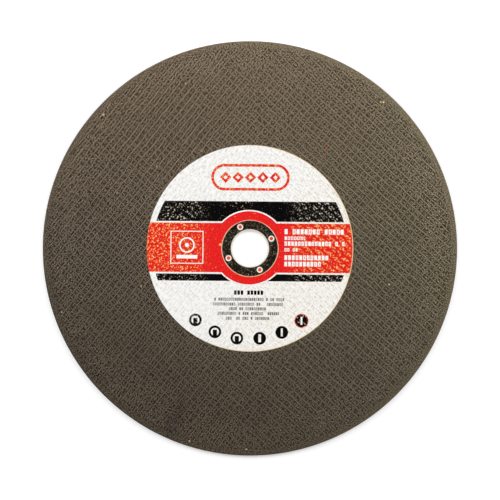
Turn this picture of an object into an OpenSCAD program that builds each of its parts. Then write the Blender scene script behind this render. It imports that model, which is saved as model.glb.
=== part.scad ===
// Resin-bonded cut-off wheel, lying on its back with the label up.
// The bore axis is Z, the back face rests on Z = 0 and all sizes are millimetres.

/* [Abrasive disc] */
// Outer diameter of the pressed disc
wheel_d = 300; // [260:1:360]
// Thickness over the two net faces
wheel_t = 3; // [2.4:0.1:4.5]
// Bare margin at the rim, outside the nets
rim_margin = 4; // [2:0.1:12]
// Chamfer of the two rim edges
rim_chamfer = 0.25; // [0.1:0.05:0.6]

/* [Glass nets] */
// Distance between neighbouring yarns
net_pitch = 4.233; // [3.2:0.001:8]
// Width of a flattened yarn
yarn_w = 1; // [0.6:0.05:1.8]
// Thickness of a flattened yarn
yarn_t = 0.14; // [0.08:0.01:0.2]
// Film of resin between the two layers of yarn
resin_gap = 0.02; // [0.01:0.01:0.05]
// Central hole of each net
net_hole_d = 32; // [28:0.5:60]
// Room between a yarn's end and the edge of its recess
yarn_end_gap = 0.2; // [0.1:0.05:0.5]
// Direction of the front net's lower yarns, from +X
front_net_angle = 51.3; // [0:0.1:180]
// Direction of the back net's lower yarns, from +X
back_net_angle = 17; // [0:0.1:180]
// Angle at which the two layers of yarn cross
net_cross_angle = 86.5; // [75:0.5:105]

/* [Label] */
// Diameter of the printed paper
label_d = 149.6; // [90:0.1:200]
// Thickness of the paper
label_t = 0.12; // [0.08:0.01:0.25]

/* [Centre ring] */
// Bore for the machine's spindle
bore_d = 25.4; // [20:0.1:26]
// Thickness of the sheet steel
sheet_t = 0.4; // [0.3:0.05:0.6]
// Diameter of the flange on the label
flange_d = 40.3; // [38:0.1:60]
// Depth that the flange is pressed into the paper
flange_sink = 0.05; // [0.02:0.01:0.06]
// Room around the flange in the pressed paper
flange_gap = 0.1; // [0.05:0.05:0.3]
// Radius of the rolled mouth, from the bore to the top of the flange
mouth_r = 1.2; // [0.9:0.05:1.6]
// Radius of the flange's outer edge
flange_edge_r = 0.25; // [0.1:0.05:0.3]
// Distance of the tube's end from the back face
tube_setback = 0.2; // [0.1:0.05:0.5]
// Clearance between the tube and the disc
ring_fit = 0.05; // [0.02:0.01:0.15]
// Number of pierced holes in the flange
pierce_count = 4; // [2:1:8]
// Diameter of a pierced hole at the label
pierce_d = 2.5; // [1.5:0.1:3]
// Diameter of a pierced hole's flare at the top
pierce_flare_d = 4.4; // [3.2:0.1:4.6]
// Straight wall of a pierced hole below its flare
pierce_land = 0.1; // [0.05:0.05:0.2]
// Direction of the first pierced hole, from +X
pierce_angle = 24.5; // [0:0.5:90]

/* [Hidden] */
$fn = 180;
// overshoot of each cut past the surface it opens
cut_over = 1;
wheel_r = wheel_d / 2;
net_r = wheel_r - rim_margin;
net_hole_r = net_hole_d / 2;
net_depth = 2 * yarn_t + resin_gap;
label_r = label_d / 2;
bore_r = bore_d / 2;
tube_r = bore_r + sheet_t;
disc_hole_r = tube_r + ring_fit;
flange_r = flange_d / 2;
label_top_z = wheel_t + label_t;
seat_z = label_top_z - flange_sink;
ring_top_z = seat_z + sheet_t;
// centre of the rolled mouth's arcs, where the flat of the flange starts
mouth_x = bore_r + mouth_r;
mouth_z = ring_top_z - mouth_r;
// the disc's edge under the rolled mouth follows its inner arc
disc_edge_r = mouth_x - disc_hole_r;
// pierced holes sit midway between the rolled mouth and the flange's edge
pierce_circle_r = (mouth_x + flange_r) / 2;
pierce_slope = (pierce_flare_d - pierce_d) / (sheet_t - pierce_land);

// a square cut, given by its low corner and its high corner
module span(low, high) {
    translate(low)
        square(high - low);
}

// half section of the disc's blank, from its hole to the rim
module disc_blank() {
    polygon([
        [disc_hole_r, 0],
        [wheel_r - rim_chamfer, 0],
        [wheel_r, rim_chamfer],
        [wheel_r, wheel_t - rim_chamfer],
        [wheel_r - rim_chamfer, wheel_t],
        [disc_hole_r, wheel_t]
    ]);
}

// what the rolled mouth takes off the disc's front edge
module mouth_relief() {
    difference() {
        span([disc_hole_r - cut_over, mouth_z], [mouth_x, wheel_t + cut_over]);
        translate([mouth_x, mouth_z])
            circle(r = disc_edge_r);
    }
}

// pressed abrasive mix: a recess in each face holds a net, between the hub land and the rim margin
module abrasive_disc() {
    color([0.33, 0.29, 0.24])
        rotate_extrude()
            difference() {
                disc_blank();
                mouth_relief();
                span([net_hole_r, -cut_over], [net_r, net_depth]);
                span([net_hole_r, wheel_t - net_depth], [net_r, wheel_t + cut_over]);
            }
}

// one flattened yarn along X, between two places on its own line
module yarn(from, to) {
    translate([from, 0, 0])
        rotate([90, 0, 90])
            linear_extrude(to - from)
                polygon([
                    [-yarn_w / 2, 0],
                    [yarn_w / 2, 0],
                    [yarn_w / 2 - yarn_t, yarn_t],
                    [yarn_t - yarn_w / 2, yarn_t]
                ]);
}

// parallel yarns that end at the net's round edge and at its hole
module yarn_layer() {
    edge_r = net_r - yarn_end_gap;
    hole_r = net_hole_r + yarn_end_gap;
    yarns_per_side = floor((edge_r - yarn_w) / net_pitch);
    for (i = [-yarns_per_side : yarns_per_side]) {
        off = abs(i) * net_pitch;
        near = max(off - yarn_w / 2, 0);
        far = off + yarn_w / 2;
        end = sqrt(edge_r ^ 2 - far ^ 2);
        start = sqrt(max(hole_r ^ 2 - near ^ 2, 0));
        translate([0, i * net_pitch, 0])
            if (near < hole_r) {
                yarn(start, end);
                yarn(-end, -start);
            } else
                yarn(-end, end);
    }
}

// two crossing layers of yarn, lying on Z = 0
module net(angle) {
    rotate(angle)
        yarn_layer();
    translate([0, 0, yarn_t + resin_gap])
        rotate(angle + net_cross_angle)
            yarn_layer();
}

// net in the front face, its top flush with the rim margin and the hub land
module front_net() {
    color([0.49, 0.44, 0.37])
        translate([0, 0, wheel_t - net_depth])
            net(front_net_angle);
}

// net in the back face, on which the wheel lies
module back_net() {
    color([0.47, 0.42, 0.35])
        translate([0, 0, net_depth])
            mirror([0, 0, 1])
                net(back_net_angle);
}

// printed paper on the front net: its hole lies under the start of the flange, which is pressed into it
module label() {
    color([0.95, 0.94, 0.92])
        rotate_extrude()
            difference() {
                span([mouth_x, wheel_t], [label_r, label_top_z]);
                span([mouth_x - cut_over, seat_z], [flange_r + flange_gap, label_top_z + cut_over]);
            }
}

// half section of the ring: tube, rolled mouth and flange with a rounded edge
module ring_section() {
    span([bore_r, tube_setback], [tube_r, mouth_z]);
    intersection() {
        span([bore_r, mouth_z], [mouth_x, ring_top_z]);
        translate([mouth_x, mouth_z])
            difference() {
                circle(r = mouth_r);
                circle(r = mouth_r - sheet_t);
            }
    }
    span([mouth_x, seat_z], [flange_r - flange_edge_r, ring_top_z]);
    span([flange_r - flange_edge_r, seat_z], [flange_r, ring_top_z - flange_edge_r]);
    intersection() {
        span([flange_r - flange_edge_r, ring_top_z - flange_edge_r], [flange_r, ring_top_z]);
        translate([flange_r - flange_edge_r, ring_top_z - flange_edge_r])
            circle(r = flange_edge_r);
    }
}

// round hole through the flange, flared upwards above a short straight wall
module pierced_hole() {
    translate([0, 0, seat_z - cut_over])
        cylinder(h = sheet_t + 2 * cut_over, d = pierce_d);
    translate([0, 0, seat_z + pierce_land])
        cylinder(h = sheet_t, d1 = pierce_d, d2 = pierce_d + pierce_slope * sheet_t);
}

// flanged bush of sheet steel that lines the bore and holds the label down
module centre_ring() {
    color([0.17, 0.16, 0.15])
        difference() {
            rotate_extrude()
                ring_section();
            for (i = [0 : pierce_count - 1])
                rotate(pierce_angle + i * 360 / pierce_count)
                    translate([pierce_circle_r, 0, 0])
                        pierced_hole();
        }
}

abrasive_disc();
front_net();
back_net();
label();
centre_ring();
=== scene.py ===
import math

import bpy
import numpy as np
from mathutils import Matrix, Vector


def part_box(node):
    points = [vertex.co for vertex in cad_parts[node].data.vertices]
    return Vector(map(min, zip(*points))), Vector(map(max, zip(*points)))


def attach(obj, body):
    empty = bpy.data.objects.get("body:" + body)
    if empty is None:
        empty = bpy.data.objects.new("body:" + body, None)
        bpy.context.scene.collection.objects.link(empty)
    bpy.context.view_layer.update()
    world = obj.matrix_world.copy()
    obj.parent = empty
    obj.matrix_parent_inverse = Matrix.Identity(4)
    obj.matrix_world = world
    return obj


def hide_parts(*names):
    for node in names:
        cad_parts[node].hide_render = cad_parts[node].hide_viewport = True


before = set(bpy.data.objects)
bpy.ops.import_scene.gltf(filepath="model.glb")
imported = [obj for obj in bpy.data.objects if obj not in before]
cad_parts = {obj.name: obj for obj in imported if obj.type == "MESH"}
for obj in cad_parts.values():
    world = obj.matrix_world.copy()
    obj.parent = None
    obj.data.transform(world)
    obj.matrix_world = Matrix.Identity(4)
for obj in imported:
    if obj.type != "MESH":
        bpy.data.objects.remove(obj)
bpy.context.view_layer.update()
mm = 0.001

# sizes that the frame holds
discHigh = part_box("abrasive_disc")[1]
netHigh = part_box("front_net")[1]
labelLow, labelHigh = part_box("label")
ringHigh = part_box("centre_ring")[1]
wheel = {
    "rimR": discHigh.x,
    "thick": discHigh.z,
    "labelR": labelHigh.x,
    "labelLow": labelLow.z,
    "labelTop": labelHigh.z,
    "flangeR": ringHigh.x,
    "ringTop": ringHigh.z,
}
print("frame loaded, wheel", round(wheel["rimR"] * 2 / mm, 1), "mm across")


# shader helpers

def srgb(r, g, b):
    # a colour as a screen shows it, 0 to 255, in Blender's linear light
    def channel(v):
        v = v / 255
        return v / 12.92 if v <= 0.04045 else ((v + 0.055) / 1.055) ** 2.4
    return (channel(r), channel(g), channel(b), 1.0)


building = {"tree": None}  # the node tree that new nodes go to


def feed(socket, value):
    if isinstance(value, bpy.types.NodeSocket):
        building["tree"].links.new(value, socket)
    else:
        socket.default_value = value


def addNode(kind, values=None, **settings):
    node = building["tree"].nodes.new(kind)
    for name, value in settings.items():
        setattr(node, name, value)
    for key, value in (values or {}).items():
        feed(node.inputs[key], value)
    return node


def calc(operation, *values):
    return addNode("ShaderNodeMath", dict(enumerate(values)), operation=operation).outputs[0]


def plus(a, b):
    return calc("ADD", a, b)


def minus(a, b):
    return calc("SUBTRACT", a, b)


def timesPlus(a, b, c):
    return calc("MULTIPLY_ADD", a, b, c)


def vectorCalc(operation, *values):
    return addNode("ShaderNodeVectorMath", dict(enumerate(values)), operation=operation).outputs[0]


def scaled(vector, factor):
    return addNode("ShaderNodeVectorMath", {0: vector, "Scale": factor}, operation="SCALE").outputs[0]


def step(value, low, high, outLow=0.0, outHigh=1.0, kind="SMOOTHSTEP"):
    # outLow at low and before it, outHigh at high and past it, smooth between
    ends = {"Value": value, "From Min": low, "From Max": high, "To Min": outLow, "To Max": outHigh}
    return addNode("ShaderNodeMapRange", ends, interpolation_type=kind).outputs[0]


def mixColour(amount, first, second, blend="MIX"):
    node = addNode("ShaderNodeMix", {0: amount, 6: first, 7: second}, data_type="RGBA", blend_type=blend)
    return node.outputs[2]


def tinted(colour, tint):
    return mixColour(1.0, colour, tint, "MULTIPLY")


def ramp(value, stops):
    node = addNode("ShaderNodeValToRGB", {"Fac": value})
    while len(node.color_ramp.elements) < len(stops):
        node.color_ramp.elements.new(0.5)
    for element, (place, colour) in zip(node.color_ramp.elements, stops):
        element.position = place
        element.color = colour
    return node.outputs["Color"]


def noiseOf(vector, scale, detail=2.0, rough=0.5, flat=False):
    values = {"Vector": vector, "Scale": scale, "Detail": detail, "Roughness": rough}
    return addNode("ShaderNodeTexNoise", values, noise_dimensions="2D" if flat else "3D").outputs["Fac"]


def millimetres():
    # the frame's own coordinates, in millimetres
    return scaled(addNode("ShaderNodeTexCoord").outputs["Object"], 1 / mm)


def axes(vector):
    return addNode("ShaderNodeSeparateXYZ", {0: vector}).outputs


def turnedBack(vector, angle):
    values = {"Vector": vector, "Angle": -angle}
    return addNode("ShaderNodeVectorRotate", values, rotation_type="Z_AXIS").outputs[0]


def newMaterial(name, **constants):
    material = bpy.data.materials.new(name)
    material.use_nodes = True
    building["tree"] = material.node_tree
    material.node_tree.nodes.clear()
    surface = addNode("ShaderNodeBsdfPrincipled")
    addNode("ShaderNodeOutputMaterial", {0: surface.outputs[0]})
    for key, value in constants.items():
        surface.inputs[key.replace("_", " ")].default_value = value
    return material, surface


def newGroup(name, inputs, outputs):
    # sockets by their names; those that aren't listed here carry plain numbers
    kinds = {"Vector": "NodeSocketVector", "Places": "NodeSocketVector", "Tone": "NodeSocketColor"}
    tree = building["tree"] = bpy.data.node_groups.new(name, "ShaderNodeTree")
    for way, names in (("INPUT", inputs), ("OUTPUT", outputs)):
        for socketName in names.split():
            kind = kinds.get(socketName, "NodeSocketFloat")
            tree.interface.new_socket(socketName, in_out=way, socket_type=kind)
    return tree, addNode("NodeGroupInput").outputs, addNode("NodeGroupOutput").inputs


def useGroup(group, **values):
    return addNode("ShaderNodeGroup", values, node_tree=group).outputs


def finish(surface, colour, rough, height, strength, deep):
    bump = addNode("ShaderNodeBump", {"Height": height, "Strength": strength, "Distance": deep})
    feed(surface.inputs["Base Color"], colour)
    feed(surface.inputs["Roughness"], rough)
    feed(surface.inputs["Normal"], bump.outputs[0])


# masks and distances

def times(*values):
    product = values[0]
    for value in values[1:]:
        product = calc("MULTIPLY", product, value)
    return product


def either(*masks):
    total = masks[0]
    for mask in masks[1:]:
        total = calc("MAXIMUM", total, mask)
    return total


def without(mask, hole):
    return times(mask, minus(1.0, hole))


def below(value, limit):
    return calc("LESS_THAN", value, limit)


def between(value, low, high):
    return times(calc("GREATER_THAN", value, low), below(value, high))


def apart(value, centre=0.0):
    return calc("ABSOLUTE", minus(value, centre))


def distanceTo(x, y, centreX=0.0, centreY=0.0):
    dx = minus(x, centreX)
    dy = minus(y, centreY)
    return calc("SQRT", timesPlus(dx, dx, times(dy, dy)))


sideSpread = 60.0  # mm from the bore to where a left or right value holds in full


def leftToRight(x, values):
    return step(x, -sideSpread, sideSpread, *values)


# shared effects

# how the nets were pushed about in the press: waves of reach in mm, wave numbers along X and Y
# in radians per mm, phase, and the direction of the push
drift = [
    (0.22, 0.05, 0.21, 1.3, (1, 0)),
    (0.14, 0.37, -0.11, 4.0, (1, 0)),
    (0.22, 0.19, -0.07, 2.1, (0, 1)),
    (0.14, 0.13, 0.43, 0.4, (0, 1)),
    (0.12, 0.62, 0.41, 5.1, (0.7, -0.7)),
]


def drifted(x, y):
    # where a point of the straight net lies in the pressed one, metres
    dx, dy = 0.0, 0.0
    for reach, kx, ky, phase, way in drift:
        push = reach * mm * np.sin((kx * x + ky * y) / mm + phase)
        dx, dy = dx + push * way[0], dy + push * way[1]
    return x + dx, y + dy


def makeLatticeGroup():
    # where a point lies between the yarns of a net: distances to the nearest yarn of each
    # direction in mm, and its place among the yarns in pitches
    tree, given, out = newGroup("netLattice", "Vector Pitch Angle Cross", "AcrossA AcrossB Places")
    x, y = axes(given["Vector"])[:2]
    pushes = []
    for reach, kx, ky, phase, way in drift:
        wave = timesPlus(x, kx, timesPlus(y, ky, phase))
        pushes.append((calc("SINE", wave), reach, way))
    for push, reach, way in pushes:
        x = timesPlus(push, -reach * way[0], x) if way[0] else x
        y = timesPlus(push, -reach * way[1], y) if way[1] else y
    angles = {"AcrossA": given["Angle"], "AcrossB": plus(given["Angle"], given["Cross"])}
    places = []
    for name, angle in angles.items():
        across = minus(times(y, calc("COSINE", angle)), times(x, calc("SINE", angle)))
        place = calc("DIVIDE", across, given["Pitch"])
        feed(out[name], times(minus(place, calc("ROUND", place)), given["Pitch"]))
        places.append(place)
    feed(out["Places"], addNode("ShaderNodeCombineXYZ", dict(enumerate(places))).outputs[0])
    return tree


def makeGrainGroup():
    # crushed grain: a random number for each grain, its rounded height, rare flecks and a tint
    tree, given, out = newGroup("crushedGrain", "Vector Size Uneven FleckShare", "Random Height Fleck Tint")
    moved = vectorCalc("ADD", given["Vector"], noiseOf(given["Vector"], 1.3, 1.0))
    cells = {"Vector": moved, "Scale": calc("DIVIDE", 1.0, given["Size"]), "Randomness": given["Uneven"]}
    grains = addNode("ShaderNodeTexVoronoi", cells).outputs
    chance = addNode("ShaderNodeSeparateColor", {0: grains["Color"]}).outputs
    feed(out["Random"], chance[0])
    feed(out["Height"], step(grains["Distance"], 0.7, 0.1, kind="LINEAR"))
    feed(out["Fleck"], times(below(chance[1], given["FleckShare"]), below(grains["Distance"], 0.5)))
    feed(out["Tint"], chance[2])
    return tree


# painted light and shade: the mix is painted paler towards the upper right and darker towards the lower
# left, with random clouds of tone, a shift of tint and a dark stain. A span is two places in mm, and where
# four numbers stand, the values there
toneAndPaintedShade = {
    "paintedLightSlant": 0.52,  # share of X in the direction that gets paler
    # painted light and shade: factors from the darkest to the palest end of that direction
    "levels": (-130.0, 130.0, 0.585, 1.35),
    "clouds": (0.022, 16.0),  # scale, and reach in mm
    "hueSpan": (-20.0, 110.0),
    "hues": ((1.038, 0.988, 0.95, 1), (0.985, 1.01, 0.935, 1)),
    "stainAt": (-53.6, -122.4),
    "stainTurn": math.radians(67.5),
    "stainHalf": (22.0, 10.5),  # mm along and across
    "stainDark": 0.36,
}


def makeShadeAndToneGroup():
    # painted light and shade: the mix is painted paler towards one side and darker towards the other, and a
    # little cloudy, with one dark patch on the front
    tree, given, out = newGroup("paintedShadeAndTone", "Vector", "Tone")
    place = given["Vector"]
    x, y, z = axes(place)
    cloudScale, cloudReach = toneAndPaintedShade["clouds"]
    along = plus(timesPlus(x, toneAndPaintedShade["paintedLightSlant"], y), -cloudReach / 2)
    along = timesPlus(noiseOf(place, cloudScale, 3.0, 0.55), cloudReach, along)
    # level is painted light and shade, paler towards the upper right
    level = step(along, *toneAndPaintedShade["levels"], "LINEAR")
    moved = vectorCalc("SUBTRACT", place, (*toneAndPaintedShade["stainAt"], 0))
    u, v = axes(turnedBack(moved, toneAndPaintedShade["stainTurn"]))[:2]
    halfLong, halfWide = toneAndPaintedShade["stainHalf"]
    away = distanceTo(calc("DIVIDE", u, halfLong), calc("DIVIDE", v, halfWide))
    stain = times(step(away, 1.0, 0.1, 0.0, toneAndPaintedShade["stainDark"]), step(z, 1.0, 2.0))
    hue = mixColour(step(x, *toneAndPaintedShade["hueSpan"], kind="LINEAR"), *toneAndPaintedShade["hues"])
    feed(out["Tone"], scaled(hue, without(level, stain)))
    return tree


latticeGroup = makeLatticeGroup()
grainGroup = makeGrainGroup()
shadeAndToneGroup = makeShadeAndToneGroup()
print("shared shader groups built")


# meshes

def meshPiece(name, verts, faces, materials, slots=None, smooth=True, crest=None):
    mesh = bpy.data.meshes.new(name)
    verts, faces = (rows.tolist() if isinstance(rows, np.ndarray) else rows for rows in (verts, faces))
    mesh.from_pydata(verts, [], faces)
    if crest is not None:
        mesh.attributes.new("crest", "FLOAT", "POINT").data.foreach_set("value", crest)
    for material in materials:
        mesh.materials.append(material)
    if slots is not None:
        mesh.polygons.foreach_set("material_index", np.asarray(slots, dtype=np.int32))
    mesh.polygons.foreach_set("use_smooth", np.full(len(mesh.polygons), smooth))
    mesh.update()
    piece = bpy.data.objects.new(name, mesh)
    bpy.context.scene.collection.objects.link(piece)
    return piece


def spunPoints(rings, turns):
    # turning angles, and the radius and height of each point, from rings of radius and height
    angles = np.arange(turns) * 2 * math.pi / turns
    radius, height = (np.array([ring[k] for ring in rings])[:, None] * np.ones(turns) for k in (0, 1))
    return angles, radius, height


def spunFaces(ringCount, turns):
    # quads from each ring to the next one, and from the last to the first
    point = np.arange(ringCount * turns).reshape(ringCount, turns)
    after = np.roll(point, -1, 1)
    return np.stack([point, after, np.roll(after, -1, 0), np.roll(point, -1, 0)], 2).reshape(-1, 4)


# the two nets: their yarns, as the frame lays them

frontWeave = {
    "pitch": 4.233 * mm,
    "angle": math.radians(51.3),
    "cross": math.radians(86.5),
    "yarnWide": 1.0 * mm,
    "yarnThick": 0.13 * mm,
    "wave": 0.07 * mm,  # rise and fall of a yarn over its neighbours
    "sway": 0.05 * mm,  # wander to the sides, in two waves of these lengths
    "swayLong": (5 * mm, 14 * mm),
    "swell": 0.16,  # share by which a yarn gets wider and narrower, over this length
    "swellLong": 6 * mm,
    "holeR": 16.2 * mm,
    "edgeR": netHigh.x,
    "levels": 3,  # points between two crossings
    "leastStep": 0.05,  # least distance of two points, in pitches
    "seed": 4,
}
backWeave = dict(frontWeave, angle=math.radians(17), seed=9)


def yarnAngles(weave):
    return {"A": weave["angle"], "B": weave["angle"] + weave["cross"]}


def latticePlace(weave, x, y):
    # place of a point among the yarns of the two directions, in pitches
    farX, farY = drifted(x, y)
    x, y = 2 * x - farX, 2 * y - farY
    return [(y * math.cos(a) - x * math.sin(a)) / weave["pitch"] for a in yarnAngles(weave).values()]


def useLattice(weave, place):
    return useGroup(latticeGroup, Vector=place, Pitch=weave["pitch"] / mm, Angle=weave["angle"],
                    Cross=weave["cross"])


def yarnSpans(weave, offset):
    # the stretches of one yarn between the net's hole and its round edge
    half = weave["yarnWide"] / 2
    end = math.sqrt(weave["edgeR"] ** 2 - (abs(offset) + half) ** 2)
    near = max(abs(offset) - half, 0)
    if near >= weave["holeR"]:
        return [(-end, end)]
    start = math.sqrt(weave["holeR"] ** 2 - near ** 2)
    return [(-end, -start), (start, end)]


def wovenNet(name, weave, midZ, materials):
    # yarns with a lens section that pass over and under each other
    rng = np.random.default_rng(weave["seed"])
    pitch, cross, levels = weave["pitch"], weave["cross"], weave["levels"]
    count = int((weave["edgeR"] - weave["yarnWide"]) / pitch)
    verts, faces, slots = [], [], []
    total = 0
    for family, angle in enumerate(yarnAngles(weave).values()):
        along = np.array([math.cos(angle), math.sin(angle)])
        aside = np.array([-math.sin(angle), math.cos(angle)])
        sign = -1 if family == 0 else 1  # the places run backwards along the first direction
        for i in range(-count, count + 1):
            shift = i * math.cos(cross)
            for start, end in yarnSpans(weave, i * pitch):
                # crossings fall where the place among the other yarns is a whole number
                first, last = sorted(sign * s * math.sin(cross) / pitch + shift for s in (start, end))
                grid = np.arange(math.ceil(first * levels), math.floor(last * levels) + 1)
                places = np.concatenate([[first], grid / levels, [last]])
                places = places[np.concatenate([[True], np.diff(places) > weave["leastStep"]])]
                if len(places) < 2:
                    continue
                s = (places - shift) * pitch / math.sin(cross) * sign
                lift = weave["wave"] * np.cos(np.pi * (places + i)) * -sign
                phase = rng.uniform(0, 6.28, 3)
                waves = [np.sin(s / long + p) for long, p in zip(weave["swayLong"], phase)]
                sway = weave["sway"] * (waves[0] + waves[1])
                swell = weave["swell"] * np.sin(s / weave["swellLong"] + phase[2])
                wide = weave["yarnWide"] / 2 * (1 + swell)
                centre = s[:, None] * along + (i * pitch + sway)[:, None] * aside
                centre = np.column_stack(drifted(centre[:, 0], centre[:, 1]))
                section = []
                for side, up in ((1, 0), (0, 1), (-1, 0), (0, -1)):
                    flat = centre + (side * wide)[:, None] * aside
                    section.append(np.column_stack([flat, midZ + lift + up * weave["yarnThick"] / 2]))
                verts.append(np.stack(section, 1).reshape(-1, 3))
                k = total + 4 * np.arange(len(s))
                shell = [np.stack([k[:-1] + q, k[:-1] + (q + 1) % 4, k[1:] + (q + 1) % 4, k[1:] + q], 1)
                         for q in range(4)]
                shell = np.concatenate([*shell, [k[0] + [3, 2, 1, 0], k[-1] + [0, 1, 2, 3]]])
                faces.append(shell[:, ::sign])
                slots.append(np.full(len(shell), family))
                total += 4 * len(s)
    crest = np.tile([0.0, 1.0, 0.0, 0.0], total // 4)  # 1 on the back of each yarn, 0 at its sides
    return meshPiece(name, np.concatenate(verts), np.concatenate(faces), materials, np.concatenate(slots),
                     crest=crest)


yarnLook = {
    "glass": {"A": srgb(219, 198, 170), "B": srgb(206, 187, 160)},
    "soaked": srgb(66, 59, 48),
    "grime": srgb(40, 35, 28),
    # painted highlight: the bare line of one direction is painted brighter on the left and the other's on
    # the right, as a glint of the side lamps would be
    "bareAndGlint": {"A": (0.7, 0.47), "B": (0.61, 0.8)},  # how bare each direction is, left and right
    "upper": {"A": 1.09, "B": 0.95},  # factor on that in the upper part
    "upperSpan": (30.0, 110.0),  # mm over which the upper part starts
    "bareLine": (0.56, 0.88),  # height on the yarn where the bare line starts
    "drawn": (0.12, 4.0, 1.0),  # how the filaments are drawn out along the yarn
    "rough": (0.62, 0.4),  # soaked and bare
    "bump": 0.12 * mm,
}


def yarnMaterial(name, family, angle):
    # resin-soaked glass roving: a bare line of filaments along its back, partly real bare glass and partly a
    # painted highlight that is brighter on one side of the wheel, with grain against its sides
    look = yarnLook
    material, surface = newMaterial(name, Specular_IOR_Level=0.35)
    place = millimetres()
    x, y = axes(place)[:2]
    drawn = vectorCalc("MULTIPLY", turnedBack(place, angle), look["drawn"])
    filaments = noiseOf(drawn, 1.0, 3.0, 0.6)
    patches = noiseOf(place, 0.14, 3.0, 0.65)
    grain = useGroup(grainGroup, Vector=place, Size=0.75, Uneven=0.9, FleckShare=0.0)
    # tone with its painted light and shade
    tone = useGroup(shadeAndToneGroup, Vector=place)["Tone"]
    crest = addNode("ShaderNodeAttribute", attribute_name="crest").outputs["Fac"]
    # painted highlight: the bare line is brighter by direction and side
    side = leftToRight(x, look["bareAndGlint"][family])
    side = times(side, step(y, *look["upperSpan"], 1.0, look["upper"][family]))
    bare = times(step(crest, *look["bareLine"]), step(patches, 0.65, 0.42, 0.86, 1.0),
                 step(grain["Random"], 0.85, 0.3, 0.72, 1.0), side)
    colour = mixColour(step(grain["Random"], 0.25, 0.9), look["grime"], look["soaked"])
    colour = mixColour(bare, colour, look["glass"][family])
    height = timesPlus(filaments, 0.6, times(grain["Height"], 0.4))
    finish(surface, tinted(colour, tone), step(bare, 0, 1, *look["rough"]), height, 0.5, look["bump"])
    return material


def yarnMaterials(name, weave):
    return [yarnMaterial(name + family, family, angle) for family, angle in yarnAngles(weave).items()]


# the pressed disc: grain that wells up in the meshes of both nets, a rough rim and a bare bore

disc = {
    "turns": 560,  # points round the wheel
    "frontStep": 1.2 * mm,  # distance of the rings on each part of the surface
    "backStep": 1.65 * mm,
    "frontRimStep": 1.0 * mm,
    "backRimStep": 1.2 * mm,
    "sideStep": 0.36 * mm,
    "margin": 4.0 * mm,
    "marginWall": 0.6 * mm,  # slope from the nets' bed up to the margin
    "underLabel": 0.8 * mm,  # how far the mounds reach under the label
    "chamfer": 0.25 * mm,
    "holeR": 13.15 * mm,
    "holeEase": (0.4 * mm, 0.7 * mm),  # eased front edge of the hole, across and down
    "netHoleR": 16.0 * mm,
    "recess": 0.30 * mm,
    "bed": 0.10 * mm,  # depth of mix under the yarns
    "moundFrom": 0.35 * mm,  # distance from a yarn's middle where a mound starts, and its slope's width
    "moundSlope": 1.1 * mm,
    "moundHigh": 0.14 * mm,
    "roughHigh": 0.02 * mm,
    "rise": 5.0 * mm,  # width over which the mix rises to the bare margin
    "seed": 21,
}


def pressedDisc(materials):
    rng = np.random.default_rng(disc["seed"])
    netR, rimR = wheel["rimR"] - disc["margin"], wheel["rimR"]
    thick, recess, chamfer = wheel["thick"], disc["recess"], disc["chamfer"]
    holeR, netHoleR, turns, rough = disc["holeR"], disc["netHoleR"], disc["turns"], disc["roughHigh"]
    bedR = netR - disc["marginWall"]
    labelCover = wheel["labelR"] - disc["underLabel"]
    easeWide, easeDeep = disc["holeEase"]

    def spaced(start, end, gap):
        return np.linspace(start, end, max(2, int(round(abs(end - start) / gap)) + 1))

    # rings from the bore's back edge round the rim to the bore's front edge: radius, height, kind
    rings = [(holeR, 0.0, "plain"), (netHoleR, 0.0, "plain"), (netHoleR, recess, "plain")]
    rings += [(r, recess, "back") for r in spaced(netHoleR, bedR, disc["backStep"])[1:]]
    rings += [(r, 0.0, "backRim") for r in spaced(netR, rimR - chamfer, disc["backRimStep"])]
    rings += [(rimR, z, "side") for z in spaced(chamfer, thick - chamfer, disc["sideStep"])]
    rings += [(r, thick, "frontRim") for r in spaced(rimR - chamfer, netR, disc["frontRimStep"])]
    rings += [(r, thick - recess, "front") for r in spaced(bedR, labelCover, disc["frontStep"])]
    rings += [(netHoleR, thick - recess, "plain"), (netHoleR, thick, "plain")]
    rings += [(holeR + easeWide, thick, "plain"), (holeR, thick - easeDeep, "plain")]
    kinds = np.array([kind for r, z, kind in rings])
    angles, radius, height = spunPoints(rings, turns)
    x, y = radius * np.cos(angles), radius * np.sin(angles)

    for kind, weave, way in (("front", frontWeave, 1), ("back", backWeave, -1)):
        rows = kinds == kind
        a, b = latticePlace(weave, x[rows], y[rows])
        fromYarn = np.minimum(np.abs(a - np.round(a)), np.abs(b - np.round(b))) * weave["pitch"]
        mound = np.clip((fromYarn - disc["moundFrom"]) / disc["moundSlope"], 0, 1)
        mound = mound * mound * (3 - 2 * mound)
        toRim = np.clip((radius[rows] - netR + disc["rise"]) / disc["rise"], 0, 1) ** 2
        lift = disc["bed"] + mound * disc["moundHigh"]
        lift = lift * (1 - toRim) + (recess - rough) * toRim
        height[rows] += way * (lift - rough * rng.random(mound.shape))
    for kind, way in (("frontRim", -1), ("backRim", 1)):
        rows = kinds == kind
        height[rows] += way * rough * rng.random(height[rows].shape)
    side = kinds == "side"
    radius[side] -= rough * rng.random(radius[side].shape)

    verts = np.stack([radius * np.cos(angles), radius * np.sin(angles), height], 2).reshape(-1, 3)
    slotOf = {"front": 0, "frontRim": 0, "side": 1, "back": 2, "backRim": 2, "plain": 0}
    slots = [slotOf[here if after == "plain" else after] for here, after in zip(kinds, np.roll(kinds, -1))]
    return meshPiece("pressedDisc", verts, spunFaces(len(rings), turns), materials, np.repeat(slots, turns))


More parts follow.
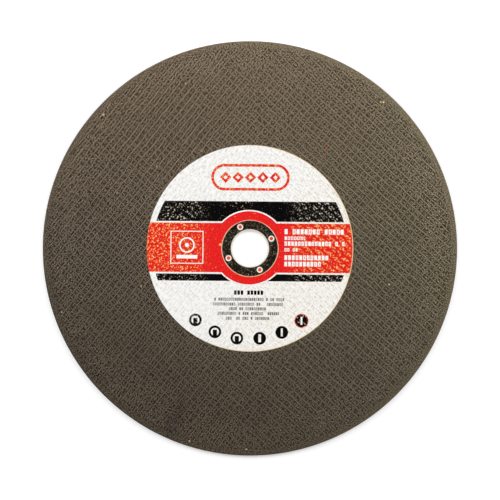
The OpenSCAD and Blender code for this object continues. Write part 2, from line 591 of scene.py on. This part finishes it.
# spans as in cure
mixLook = {
    "shades": [(0.1, srgb(20, 13, 5)), (0.35, srgb(61, 52, 36)), (0.6, srgb(99, 88, 70)),
               (0.9, srgb(151, 138, 119))],
    "pink": (1.1, 0.96, 0.93, 1),
    "green": (0.92, 1.03, 0.97, 1),
    "cream": srgb(196, 172, 128),
    "rust": srgb(132, 72, 46),
    "grain": {"Size": 1.5, "Uneven": 0.8, "FleckShare": 0.0018},
    "dust": {"Size": 0.68, "Uneven": 1.0, "FleckShare": 0.0003},
    "scatter": (1.27, 2.5, 0.25),  # scale, reach and level
    "dustReach": 0.24,
    "middleShade": 0.45,  # what more contrast leaves as it is
    # painted shade: the mix's middle level is lower on the left, so the left is painted darker
    "level": (-90.0, 40.0, 0.405, 0.482),
    "contrast": (1.25, 0.85),  # left and right
    "upperContrast": (10.0, 100.0, 1.0, 0.86),
    "rimPits": (112.0, 132.0, 144.5, 146.5),  # radii where deeper pits start, are full, fade and end
    "pitDepth": (0.12, 0.36),  # in the face and near the rim
    "leftPits": (-60.0, -120.0, 1.0, 1.9),
    # painted shade: how much darker the mix is painted in the grooves beside the yarns, left and right
    "shadeBeside": {"A": (0.16, 0.06), "B": (0.06, 0.14)},  # depth beside the yarns, left and right
    "grooveWide": (1.5, 1.0),
    "upperGrooves": (0.0, 90.0, 1.0, 0.9),
    "paleMiddle": (0.09, 0.0),  # in the meshes, left and right
    "upperCap": (-20.0, 90.0, 1.1, 0.8),
    "upperLift": (-20.0, 90.0, 0.0, 0.03),
    "marginCap": (138.0, 146.5, 1.1, 0.62),
    "marginTint": (1.12, 1.17, 1.33, 1),
    "marginWide": 3.5,  # mm over which the tint comes in
    "outwards": (0.985, 1.4),  # factor from the first pits to the rim
    "rightEdge": (50.0, 110.0, 1.0, 0.95),
}


def netMarks(weave, place, outer):
    # what a net leaves in the mix: paler middles of its meshes, and painted shade in the grooves and pits
    # beside its yarns
    look = mixLook
    x, y = axes(place)[:2]
    yarns = useLattice(weave, place)
    shadeBeside = []
    for family, depths in look["shadeBeside"].items():
        beside = step(apart(yarns["Across" + family]), *look["grooveWide"])
        shadeBeside.append(times(beside, leftToRight(x, depths)))
    broken = noiseOf(place, 0.55, 0.0, flat=True)
    grooveShade = times(either(*shadeBeside), step(outer, 0, 1, 1.0, 1.35),
                   step(y, *look["upperGrooves"]), step(broken, 0.3, 0.7, 0.6, 1.4, "LINEAR"))
    middle = step(apart(yarns["AcrossA"]), 1.3, 2.0)
    # four pits in each mesh, painted darker by different amounts as shade
    corners = vectorCalc("MULTIPLY_ADD", yarns["Places"], (2, 2, 2), (0.2, 0.2, 0))
    pits = addNode("ShaderNodeTexVoronoi", {"Vector": corners, "Scale": 1.0, "Randomness": 0.6},
                   voronoi_dimensions="2D", distance="CHEBYCHEV").outputs
    depth = addNode("ShaderNodeSeparateColor", {0: pits["Color"]}).outputs[0]
    depth = times(calc("POWER", depth, 1.5), step(outer, 0, 1, *look["pitDepth"]),
                  step(x, *look["leftPits"]))
    sunk = timesPlus(step(pits["Distance"], 0.4, 0.1), depth, grooveShade)
    return times(middle, leftToRight(x, look["paleMiddle"])), sunk


def mixMaterial(name, weave=None):
    # crushed grain in dark resin, with the marks of a net where one is pressed into it
    look = mixLook
    material, surface = newMaterial(name, Specular_IOR_Level=0.25)
    place = millimetres()
    x, y = axes(place)[:2]
    fromBore = distanceTo(x, y)
    turned = turnedBack(place, (weave or frontWeave)["angle"])
    grain = useGroup(grainGroup, Vector=turned, **look["grain"])
    dust = useGroup(grainGroup, Vector=place, **look["dust"])
    # an even scatter without large patches, laid along the net
    scale, reach, level = look["scatter"]
    scatter = plus(noiseOf(turned, scale, 0.0, flat=bool(weave)), -0.5)
    shade = timesPlus(scatter, reach, level)
    shade = timesPlus(dust["Random"], look["dustReach"], shade)
    pitsFrom, pitsFull, pitsFade, pitsEnd = look["rimPits"]
    inside = step(fromBore, pitsEnd, pitsFade)
    outer = times(step(fromBore, pitsFrom, pitsFull), inside)
    contrast = timesPlus(outer, 0.25, step(fromBore, pitsFull, pitsEnd, 1.0, 0.5))
    contrast = times(contrast, leftToRight(x, look["contrast"]), step(y, *look["upperContrast"]))
    shade = plus(shade, -look["middleShade"])
    # painted shade: a lower level on the left
    shade = timesPlus(shade, contrast, step(x, *look["level"]))
    if weave:
        middle, sunk = netMarks(weave, place, outer)
        # painted shade: the mix is darkened in the grooves and pits
        shade = minus(plus(shade, middle), times(sunk, inside))
    # pale grains are held back in the upper part and in the rim margin, and the upper part is painted a
    # little paler as painted light
    cap = calc("MINIMUM", step(y, *look["upperCap"]), step(fromBore, *look["marginCap"]))
    shade = plus(shade, step(y, *look["upperLift"]))
    shade = calc("SMOOTH_MIN", shade, cap, 0.15)
    colour = ramp(shade, look["shades"])
    colour = mixColour(grain["Fleck"], colour, look["cream"])
    colour = mixColour(dust["Fleck"], colour, look["rust"])
    colour = tinted(colour, mixColour(dust["Tint"], look["pink"], look["green"]))
    # the painted light and shade of the tone group, with its clouds, tint and stain
    colour = tinted(colour, useGroup(shadeAndToneGroup, Vector=place)["Tone"])
    margin = step(fromBore, pitsFade - look["marginWide"], pitsEnd)
    colour = mixColour(margin, colour, look["marginTint"], "MULTIPLY")
    paler = times(step(fromBore, pitsFrom, pitsEnd, *look["outwards"]), step(x, *look["rightEdge"]))
    height = timesPlus(grain["Height"], 0.4, times(shade, 0.6))
    finish(surface, scaled(colour, paler), step(dust["Random"], 0, 1, 0.55, 0.8), height, 0.6, 0.2 * mm)
    return material


# the printed label; the print's own places and sizes are in mm

label = {
    "turns": 640,
    "ringStep": 0.55 * mm,
    "holeR": 13.9 * mm,
    "sinkR": 20.25 * mm,  # the flange is pressed into the paper inside this
    "sink": 0.05 * mm,
    "sinkWall": 0.1 * mm,
    "emboss": 0.05 * mm,
    "embossWide": 0.6 * mm,
    "fuzzHigh": 0.006 * mm,
    "edgeEase": (0.05 * mm, 0.03 * mm),  # eased outer edge, across and down
    "seed": 33,
    "printAt": (-0.62, 0.39),  # the print's centre, from the bore
    "printTurn": math.radians(-0.48),
    "bandHigh": 35.65,
    "hubR": 26.5,
    "lineWide": 1.0,
    "stripes": [(19.02, 33.6), (-24.09, -19.05)],
    "stripeEndR": 70.6,
    "upperFrom": (34.0, 37.0),  # where the field above the stripes starts
}
inks = {
    "paper": srgb(255, 254, 251),
    "paperWarm": srgb(255, 253, 249),
    # painted shade of the emboss, partly grime, in the pressed hollows and beside the ridges
    "press": srgb(211, 208, 201),  # grime in the pressed hollows
    "warmShadeAndGrime": srgb(207, 187, 154),
    "red": srgb(229, 26, 28),
    "redPale": srgb(243, 42, 40),
    "black": srgb(4, 3, 3),
    "grey": srgb(96, 92, 88),
    "seam": srgb(240, 220, 186),  # bare paper round the flange
    "worn": srgb(214, 202, 182),  # paper that shows through worn black
    "dots": srgb(232, 200, 150),  # small bare spots in the black
    "orange": srgb(246, 98, 38),  # thin red
    "cream": srgb(252, 204, 122),  # paper that shows through worn red
    "edge": srgb(240, 216, 172),
}
# rows of boxes: left, right, middle, height, box and its line
whiteRows = [
    (25.6, 68.4, 11.9, 3.7, 2.9, 0.8),
    (25.6, 40.6, 7.2, 2.5, 2.3, 0.55),
    (25.6, 69.0, 3.3, 3.1, 2.45, 0.75),
    (25.6, 35.2, -1.2, 2.4, 2.0, 0.55),
    (25.6, 57.4, -6.9, 3.4, 2.7, 0.8),
    (25.6, 52.6, -11.5, 3.4, 2.7, 0.8),
]
headRows = [(-10.6, 10.5, -32.4, 3.0, 2.4, 0.9)]
greyRows = [(left, right, middle, 2.1, 1.5, 0.4) for left, right, middle in (
    (-26.4, 25.6, -37.3), (-25.8, 25.0, -40.8), (-14.2, 12.6, -44.1), (-22.2, 22.0, -47.5),
    (-16.4, 14.8, -51.0))]
rounds = {
    "count": 6,
    "ringed": 3,  # the first ones have a pale ring round a block, the others a pale bar
    "arcR": 61.5,
    "arcAt": (-0.05, -4.45),
    "gap": math.radians(15.45),
    "r": 4.6,
    "ringR": 2.95,
    "blockHalf": 1.5,
    "barLong": 2.9,
    "barHalf": (1.0, 0.7),  # the first bar and the others
    "redLine": 0.5,  # round the last one
}
frameMark = {"at": (-45.0, 0.1), "half": 11.9, "line": 0.62, "ringUp": 1.6, "ringR": (4.6, 5.6),
             "spotR": 1.5, "bar": (-8.2, -5.6), "barHalf": 7.6}
plate = {"at": (0.6, 51.0), "halfLong": 28.4, "halfHigh": 9.6, "line": 1.9, "spots": 5, "spotGap": 9.0,
         "spotR": (1.6, 4.1)}
# where ink is lost: noise levels and places in mm
wear = {
    "rightEnd": (26.0, 40.0),
    "leftEnd": (-26.0, -46.0),
    "upper": 0.9,  # share of that in the upper field
    "leftSpeck": -0.04,
    "bare": (0.54, 0.63),
    "faded": (0.42, 0.64),
    "thin": (0.42, 0.62),
    "chipAt": (-21.4, 2.8),
    "chipR": (1.2, 0.5),
    "seamOut": 0.3,  # from the flange's edge to the middle of the seam
    "dotsUp": (26.5, 31.0, 0.03, 1.0),
    "dotsX": -8.0,
    "dotsHalf": (12.0, 6.0),
}
# how strongly the marks of the net are painted as shade and highlight on the paper, right and left
embossShade = {"fuzz": (1.0, 0.6), "StrokeA": (0.8, 1.5), "StrokeB": (1.1, 0.6), "RidgeA": (0.08, 0.13),
         "RidgeB": (0.14, 0.06)}


def embossHeight(weave, x, y):
    # paper pressed over the net: it stands up along the yarns, most where they cross
    a, b = latticePlace(weave, x, y)
    ridges = []
    for here, other, way in ((a, b, 1), (b, a, -1)):
        near = np.exp(-((here - np.round(here)) * weave["pitch"] / label["embossWide"]) ** 2)
        ridges.append(near * (0.62 + way * 0.38 * np.cos(np.pi * (np.round(here) + other))))
    return np.maximum(*ridges)


def printedLabel(material):
    rng = np.random.default_rng(label["seed"])
    top, low, edgeR, sinkR = wheel["labelTop"], wheel["labelLow"], wheel["labelR"], label["sinkR"]
    easeWide, easeDeep = label["edgeEase"]
    count = int((edgeR - sinkR) / label["ringStep"])
    holeR, sunk = label["holeR"], top - label["sink"]
    rings = [(holeR, low), (holeR, sunk), (sinkR - label["sinkWall"], sunk)]
    pressed = slice(len(rings), len(rings) + count)
    rings += [(r, top) for r in np.linspace(sinkR, edgeR - easeWide, count)]
    rings += [(edgeR, top - easeDeep), (edgeR, low)]
    angles, radius, height = spunPoints(rings, label["turns"])
    x, y = radius * np.cos(angles), radius * np.sin(angles)
    lift = embossHeight(frontWeave, x[pressed], y[pressed])
    height[pressed] += label["emboss"] * (lift - 0.75) + label["fuzzHigh"] * rng.standard_normal(lift.shape)
    verts = np.stack([x, y, height], 2).reshape(-1, 3)
    return meshPiece("printedLabel", verts, spunFaces(len(rings), label["turns"])[:, ::-1], [material])


def makeRowGroup():
    # row of small plain boxes with gaps, some with a thicker line
    tree, given, out = newGroup("boxRow", "X Y Left Right Middle High Box Line Seed", "Mask")
    run = calc("DIVIDE", minus(given["X"], given["Left"]), given["Box"])
    number = plus(calc("FLOOR", run), given["Seed"])
    chance = addNode("ShaderNodeTexWhiteNoise", {"W": number}, noise_dimensions="1D").outputs["Value"]
    shown = calc("GREATER_THAN", chance, 0.15)
    aside = times(apart(calc("FRACT", run), 0.38), given["Box"])
    toSide = minus(times(given["Box"], 0.38), aside)
    up = apart(given["Y"], given["Middle"])
    toEnd = minus(times(given["High"], 0.5), up)
    line = times(given["Line"], step(chance, 0.55, 0.6, 1.0, 1.6))
    box = between(calc("MINIMUM", toSide, toEnd), 0.0, line)
    feed(out["Mask"], times(box, shown, between(given["X"], given["Left"], given["Right"])))
    return tree


def makePressGroup():
    # paper pressed on the net: strokes and ridges along its two directions, which paint its shading, ragged
    # clusters between its yarns, and specks of the size of a paper fibre
    tree, given, out = newGroup("pressedPaper", "Vector", "StrokeA StrokeB RidgeA RidgeB Mesh Drawn Speck")
    place = given["Vector"]
    yarns = useLattice(frontWeave, place)

    def drawnNoise(angle, along, across):
        drawn = vectorCalc("MULTIPLY", turnedBack(place, angle), (along, across, 1.0))
        return noiseOf(drawn, 1.0, 1.0, flat=True)

    for name, angle in yarnAngles(frontWeave).items():
        feed(out["Stroke" + name], drawnNoise(angle, 0.3, 0.95))
        # painted highlight and shadow: a pale line on each yarn with a painted shaded line beside it
        pale = step(apart(yarns["Across" + name], -0.3), 0.6, 0.15)
        dark = step(apart(yarns["Across" + name], 0.55), 0.7, 0.2)
        feed(out["Ridge" + name], minus(pale, dark))
    feed(out["Drawn"], step(drawnNoise(frontWeave["angle"], 0.34, 0.72), 0.44, 0.58))
    clusters = step(noiseOf(place, 0.44, 1.0, flat=True), 0.38, 0.52)
    apartA = step(apart(yarns["AcrossA"]), 0.3, 0.9, 0.45, 1.0)
    apartB = step(apart(yarns["AcrossB"]), 0.45, 1.05)
    feed(out["Mesh"], times(apartA, apartB, clusters))
    feed(out["Speck"], noiseOf(place, 0.85, 0.0, flat=True))
    return tree


rowGroup = makeRowGroup()
pressGroup = makePressGroup()


def fieldMasks(x, y, fromBore):
    # red band and hub, black stripes, and a pale line round the hub
    fromHub = distanceTo(x, y)
    hub = below(fromHub, label["hubR"])
    band = below(apart(y), label["bandHigh"] / 2)
    stripes = either(*[between(y, low, high) for low, high in label["stripes"]])
    stripes = times(stripes, below(fromBore, label["stripeEndR"]))
    return either(hub, band), without(stripes, below(fromHub, label["hubR"] + label["lineWide"]))


def plateMask(x, y):
    # plain round-ended outline with a row of diamonds, in the upper field
    px, py = plate["at"]
    high = plate["halfHigh"]
    fromY = apart(y, py)
    past = minus(apart(x, px), plate["halfLong"] - high)
    found = [between(distanceTo(calc("MAXIMUM", past, 0.0), fromY), high - plate["line"], high)]
    for number in range(plate["spots"]):
        cx = px + (number - (plate["spots"] - 1) / 2) * plate["spotGap"]
        found.append(between(plus(apart(x, cx), fromY), *plate["spotR"]))
    return either(*found)


def frameMask(x, y):
    # square outline with a plain ring over a bar
    sx, sy = frameMark["at"]
    half = frameMark["half"]
    awayX = apart(x, sx)
    square = between(either(awayX, apart(y, sy)), half - frameMark["line"], half)
    toRing = distanceTo(x, y, sx, sy + frameMark["ringUp"])
    barLow, barHigh = frameMark["bar"]
    bar = times(between(y, sy + barLow, sy + barHigh), below(awayX, frameMark["barHalf"]))
    return either(square, between(toRing, *frameMark["ringR"]), below(toRing, frameMark["spotR"]), bar)


def roundMasks(x, y):
    # row of black discs on an arc, each with a plain pale shape; a red line round the last
    found = []
    for number in range(rounds["count"]):
        angle = -math.pi / 2 + (number - (rounds["count"] - 1) / 2) * rounds["gap"]
        cx = rounds["arcAt"][0] + rounds["arcR"] * math.cos(angle)
        cy = rounds["arcAt"][1] + rounds["arcR"] * math.sin(angle)
        away = distanceTo(x, y, cx, cy)
        aside = apart(x, cx)
        if number < rounds["ringed"]:
            block = below(either(aside, minus(y, cy)), rounds["blockHalf"])
            shape = without(below(away, rounds["ringR"]), block)
        else:
            barHalf = rounds["barHalf"][number > rounds["ringed"]]
            shape = times(below(aside, barHalf), below(away, rounds["barLong"]))
        found.append(without(below(away, rounds["r"]), shape))
    return either(*found), between(away, rounds["r"], rounds["r"] + rounds["redLine"])


def pressedPaper(press, x, y, leftSide, fuzz):
    # paper with painted shade, partly grime, in the hollows between the yarns and beside the ridges, warmer
    # towards the lower right
    sunny = step(timesPlus(y, -0.6, x), -10.0, 60.0)
    shadeAndGrime = times(minus(0.5, fuzz), step(leftSide, 0, 1, *embossShade["fuzz"]))
    shadeAndGrime = plus(shadeAndGrime, step(y, -40.0, 20.0, 0.12, 0.2))
    for name in ("StrokeA", "StrokeB"):
        shadeAndGrime = timesPlus(minus(0.5, press[name]), step(leftSide, 0, 1, *embossShade[name]), shadeAndGrime)
    for name in ("RidgeA", "RidgeB"):
        shadeAndGrime = minus(shadeAndGrime, times(press[name], step(leftSide, 0, 1, *embossShade[name])))
    grime = mixColour(sunny, inks["press"], inks["warmShadeAndGrime"])
    bare = mixColour(sunny, inks["paper"], inks["paperWarm"])
    return mixColour(calc("MAXIMUM", shadeAndGrime, 0.0), bare, grime)


def labelMaterial():
    material, surface = newMaterial("labelPrint", Specular_IOR_Level=0.04)
    flangeR, edgeR = wheel["flangeR"] / mm, wheel["labelR"] / mm
    place = millimetres()
    worldX, worldY = axes(place)[:2]
    fromBore = distanceTo(worldX, worldY)
    laid = {"Vector": place, "Location": (*label["printAt"], 0), "Rotation": (0, 0, label["printTurn"])}
    x, y = axes(addNode("ShaderNodeMapping", laid, vector_type="TEXTURE").outputs[0])[:2]

    def rows(table, seed):
        found = []
        for number, row in enumerate(table):
            values = dict(zip(("Left", "Right", "Middle", "High", "Box", "Line"), row))
            found.append(useGroup(rowGroup, X=x, Y=y, Seed=seed + 40.0 * number, **values)["Mask"])
        return either(*found)

    # print
    red, black = fieldMasks(x, y, fromBore)
    roundBlack, roundRed = roundMasks(x, y)
    red = either(red, plateMask(x, y), roundRed)
    black = either(black, rows(headRows, 500.0), roundBlack)
    grey = times(rows(greyRows, 700.0), 0.92)
    white = either(times(rows(whiteRows, 3.0), 0.95), frameMask(x, y))

    # ink worn off where the paper was pressed, most towards the two ends of the print: strokes along
    # one direction of the net on the left, ragged marks in its meshes on the right
    press = useGroup(pressGroup, Vector=place)
    upper = step(y, *label["upperFrom"])
    ends = either(step(x, *wear["rightEnd"]), step(x, *wear["leftEnd"]), times(upper, wear["upper"]))
    leftSide = step(worldX, 10.0, -10.0)
    patch = noiseOf(place, 0.3, 3.0, 0.6)
    clusters = addNode("ShaderNodeMix", {0: leftSide, 2: press["Mesh"], 3: press["Drawn"]}).outputs[0]
    density = times(ends, step(patch, 0.3, 0.7, 0.5, 1.25, "LINEAR"), clusters)
    speck = timesPlus(leftSide, wear["leftSpeck"], press["Speck"])
    worn, faded, thin = (times(step(speck, *wear[name]), density) for name in ("bare", "faded", "thin"))
    toSeam = apart(fromBore, flangeR + wear["seamOut"])
    lowerRight = step(minus(worldX, worldY), -12.0, 12.0, 0.15, 1.0)
    rubbed = times(step(toSeam, 0.3, 0.15), step(patch, 0.4, 0.6), lowerRight)
    specks = step(noiseOf(place, 1.2, 1.0), 0.71, 0.78)
    chip = step(distanceTo(worldX, worldY, *wear["chipAt"]), *wear["chipR"])
    lost = either(faded, rubbed, specks, chip)
    underRing = below(fromBore, flangeR - 0.5)
    thin = either(thin, rubbed, times(underRing, 0.6))
    dots = times(step(press["Speck"], 0.64, 0.76), step(patch, 0.45, 0.58),
                 step(y, *wear["dotsUp"]), step(apart(x, wear["dotsX"]), *wear["dotsHalf"]))
    blackSpecks = times(specks, step(y, 5.0, 25.0, 0.1, 0.7))
    seam = times(step(toSeam, 0.33, 0.19), step(apart(worldX), 8.0, 18.0, 0.45, 0.9))
    edge = times(step(fromBore, edgeR - 0.7, edgeR - 0.3),
                 step(timesPlus(worldY, -0.2, worldX), -45.0, 10.0, 0.1, 0.95))

    # paper and inks, one over the other
    fuzz = noiseOf(place, 1.05, 0.0, flat=True)
    pale = times(step(x, 26.0, 40.0, 1.0, 0.25), step(x, -26.0, -40.0, 1.0, 0.7))
    pale = times(without(pale, upper), step(fuzz, 0.25, 0.75))
    colour = pressedPaper(press, worldX, worldY, leftSide, fuzz)
    colour = mixColour(red, colour, mixColour(pale, inks["red"], inks["redPale"]))
    for mask, ink in ((times(thin, red), "orange"), (times(lost, red), "cream"), (black, "black"),
                      (times(dots, black), "dots"), (times(either(worn, blackSpecks), black), "worn"),
                      (grey, "grey"), (white, "paper"), (seam, "seam"), (edge, "edge")):
        colour = mixColour(mask, colour, inks[ink])
    strokes = timesPlus(press["StrokeB"], 0.8, press["StrokeA"])
    finish(surface, colour, step(either(red, black), 0, 1, 0.7, 0.6), strokes, 0.8, 0.4 * mm)
    return material


# the flanged steel ring keeps the frame's own solid

ring = {
    "holeCircleR": 17.025,  # mm
    "holeTurn": math.radians(24.5),
    "holeCount": 4,
    "flareR": 2.2,
    "mouthR": 14.05,
    # the tan of the rolled mouth is partly bare metal and partly a painted highlight
    "mouthFade": (0.05, -0.35),  # mm from the mouth, where its tan starts and is full
    "boreFade": (-0.2, -0.6),  # the same for the bright bore
    "edgeLine": 0.1,  # width of the pale line on the flange's edge
    "edgeDeep": (-0.4, -0.2),  # from the ring's top, where that line starts and is full
    "shades": [(0.25, srgb(7, 4, 2)), (0.5, srgb(23, 19, 13)), (0.7, srgb(56, 50, 38)),
               (0.88, srgb(150, 140, 115))],
    "bright": srgb(244, 240, 231),
    "tan": srgb(206, 190, 158),
    "paleEdge": srgb(204, 200, 188),
}


def ringMaterial():
    # blackened steel, mottled, with bright metal in the bore and in the flared holes, and a tan band at the
    # bore's rolled mouth that is partly bare metal and partly a painted highlight
    material, surface = newMaterial("blackenedSteel", Specular_IOR_Level=0.06)
    place = millimetres()
    x, y, z = axes(place)
    grain = useGroup(grainGroup, Vector=place, Size=0.66, Uneven=1.0, FleckShare=0.0)
    mottle = noiseOf(place, 0.7, 3.0, 0.65)
    tone = timesPlus(grain["Random"], 0.55, times(mottle, 0.5))
    fromBore = distanceTo(x, y)
    mouth, bore = (step(fromBore, *[ring["mouthR"] + off for off in ring[name]])
                   for name in ("mouthFade", "boreFade"))
    bright = [bore]
    for number in range(ring["holeCount"]):
        angle = ring["holeTurn"] + number * 2 * math.pi / ring["holeCount"]
        cx, cy = ring["holeCircleR"] * math.cos(angle), ring["holeCircleR"] * math.sin(angle)
        bright.append(below(distanceTo(x, y, cx, cy), ring["flareR"]))
    flangeR, top = wheel["flangeR"] / mm, wheel["ringTop"] / mm
    edgeLine = times(step(fromBore, flangeR - ring["edgeLine"], flangeR),
                     step(z, *[top + deep for deep in ring["edgeDeep"]]))
    colour = ramp(tone, ring["shades"])
    colour = mixColour(mouth, colour, ring["tan"])
    colour = mixColour(edgeLine, colour, ring["paleEdge"])
    colour = mixColour(either(*bright), colour, ring["bright"])
    finish(surface, colour, step(mottle, 0.3, 0.7, 0.5, 0.68), tone, 0.5, 0.1 * mm)
    return material


# put the pieces together

mixFront = mixMaterial("mixFront", frontWeave)
mixBack = mixMaterial("mixBack", backWeave)
mixRim = mixMaterial("mixRim")
discPiece = pressedDisc([mixFront, mixRim, mixBack])
print("pressed disc", len(discPiece.data.polygons), "faces")

netMid = wheel["thick"] - frontWeave["wave"] - frontWeave["yarnThick"] / 2
frontNet = wovenNet("frontNet", frontWeave, netMid, yarnMaterials("frontYarn", frontWeave))
backNet = wovenNet("backNet", backWeave, wheel["thick"] - netMid, yarnMaterials("backYarn", backWeave))
print("nets", len(frontNet.data.polygons), "and", len(backNet.data.polygons), "faces")

labelPiece = printedLabel(labelMaterial())
print("label", len(labelPiece.data.polygons), "faces")

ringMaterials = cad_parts["centre_ring"].data.materials
ringMaterials.clear()
ringMaterials.append(ringMaterial())

for piece, node, slot in ((discPiece, "abrasive_disc", "abrasive"), (frontNet, "front_net", "glass_net"),
                          (backNet, "back_net", "glass_net"), (labelPiece, "label", "label_paper")):
    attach(piece, "root")
    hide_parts(node)


# a short red fibre that lies on the face

fibre = {
    "at": (55.1 * mm, 72.4 * mm),
    "turn": math.radians(47),
    "long": 5.2 * mm,
    "wide": 0.58 * mm,
    "thick": 0.34 * mm,
    "bow": 0.25 * mm,
    "taper": 0.7,  # share by which its ends are thinner
    "lift": 0.9,  # height of its middle, in halves of its thickness
    "points": 15,
    "sides": 6,
    "shades": [(0.3, srgb(176, 40, 26)), (0.7, srgb(240, 92, 58))],
}


def fibreMaterial():
    material, surface = newMaterial("redFibre")
    place = millimetres()
    finish(surface, ramp(noiseOf(place, 1.4), fibre["shades"]), 0.6, noiseOf(place, 6.0, 1.0), 0.4, 0.1 * mm)
    return material


def looseFibre():
    # a six-sided thread, bowed a little and thinner at its ends
    sides, points = fibre["sides"], fibre["points"]
    cosine, sine = math.cos(fibre["turn"]), math.sin(fibre["turn"])
    verts, faces = [], []
    for along in np.linspace(-1, 1, points):
        thin = 1 - fibre["taper"] * abs(along) ** 4
        far, bow = along * fibre["long"] / 2, fibre["bow"] * (along ** 2 - 0.5)
        for k in range(sides):
            angle = k * 2 * math.pi / sides
            across = bow + thin * fibre["wide"] / 2 * math.cos(angle)
            up = fibre["thick"] / 2 * (fibre["lift"] + thin * math.sin(angle))
            verts.append((fibre["at"][0] + far * cosine - across * sine,
                          fibre["at"][1] + far * sine + across * cosine, wheel["thick"] + up))
    last = sides * (points - 1)
    for i in range(0, last, sides):
        for k in range(sides):
            n = (k + 1) % sides
            faces.append((i + k, i + n, i + sides + n, i + sides + k))
    faces += [tuple(range(sides))[::-1], tuple(range(last, last + sides))]
    return meshPiece("looseFibre", verts, faces, [fibreMaterial()], smooth=False)


fibrePiece = looseFibre()
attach(fibrePiece, "root")


# floor, light and camera

studio = {
    "imageWide": 361.9 * mm,  # what the picture's width covers at the wheel's face
    "aim": (0.03 * mm, -1.17 * mm),
    "lens": 100.0,
    "sensor": 36.0,
    "floorHalf": 3.0,
    "floorZ": -0.04 * mm,
    "floorGrey": (0.86, 0.86, 0.86, 1),
    "floorWhite": (0.3, 0.95),  # white that the floor adds for the eye, near the wheel and far off
    "floorFar": (180.0, 460.0),  # mm from the wheel's axis to those two places
    "world": 0.30,
}
lamps = {
    # name: place, size, power
    "leftBox": ((-0.60, 0.20, 0.46), 0.4, 2.9),
    "rightBox": ((0.60, 0.20, 0.46), 0.4, 2.95),
    "topBox": ((0.0, 0.15, 0.90), 0.4, 1.25),
}


def makeFloor():
    half = studio["floorHalf"]
    corners = [(x * half, y * half, studio["floorZ"]) for x, y in ((-1, -1), (1, -1), (1, 1), (-1, 1))]
    material, surface = newMaterial("paleFloor", Specular_IOR_Level=0.1, Roughness=0.9,
                                    Base_Color=studio["floorGrey"], Emission_Color=(1, 1, 1, 1))
    rays = addNode("ShaderNodeLightPath").outputs
    seen = either(rays["Is Camera Ray"], rays["Is Glossy Ray"])
    x, y = axes(millimetres())[:2]
    white = step(distanceTo(x, y), *studio["floorFar"], *studio["floorWhite"])
    feed(surface.inputs["Emission Strength"], times(seen, white))
    floor = meshPiece("floor", corners, [(0, 1, 2, 3)], [material], smooth=False)


def makeLamp(name, place, size, power):
    light = bpy.data.lights.new(name, "AREA")
    light.shape = "SQUARE"
    light.size = size
    light.energy = power
    lamp = bpy.data.objects.new(name, light)
    bpy.context.scene.collection.objects.link(lamp)
    lamp.location = place
    lamp.rotation_mode = "QUATERNION"
    lamp.rotation_quaternion = lamp.location.to_track_quat("Z", "Y")


def makeCamera():
    camera = bpy.data.objects.new("camera", bpy.data.cameras.new("camera"))
    camera.data.lens = studio["lens"]
    camera.data.sensor_width = studio["sensor"]
    away = studio["imageWide"] * studio["lens"] / studio["sensor"]
    camera.location = (*studio["aim"], wheel["thick"] + away)
    bpy.context.scene.collection.objects.link(camera)
    bpy.context.scene.camera = camera


def makeWorld():
    # white to the eye, a plain level of light on the wheel
    world = bpy.data.worlds.new("studio")
    world.use_nodes = True
    building["tree"] = world.node_tree
    sky = world.node_tree.nodes["Background"].inputs
    cameraRay = addNode("ShaderNodeLightPath").outputs["Is Camera Ray"]
    feed(sky[0], (1, 1, 1, 1))
    feed(sky[1], step(cameraRay, 0, 1, studio["world"], 1.0))
    bpy.context.scene.world = world


makeFloor()
for lampName, lampValues in lamps.items():
    makeLamp(lampName, *lampValues)
makeCamera()
makeWorld()
bpy.context.scene.view_settings.view_transform = "Standard"
print("floor, lamps and camera set")

bpy.context.view_layer.update()
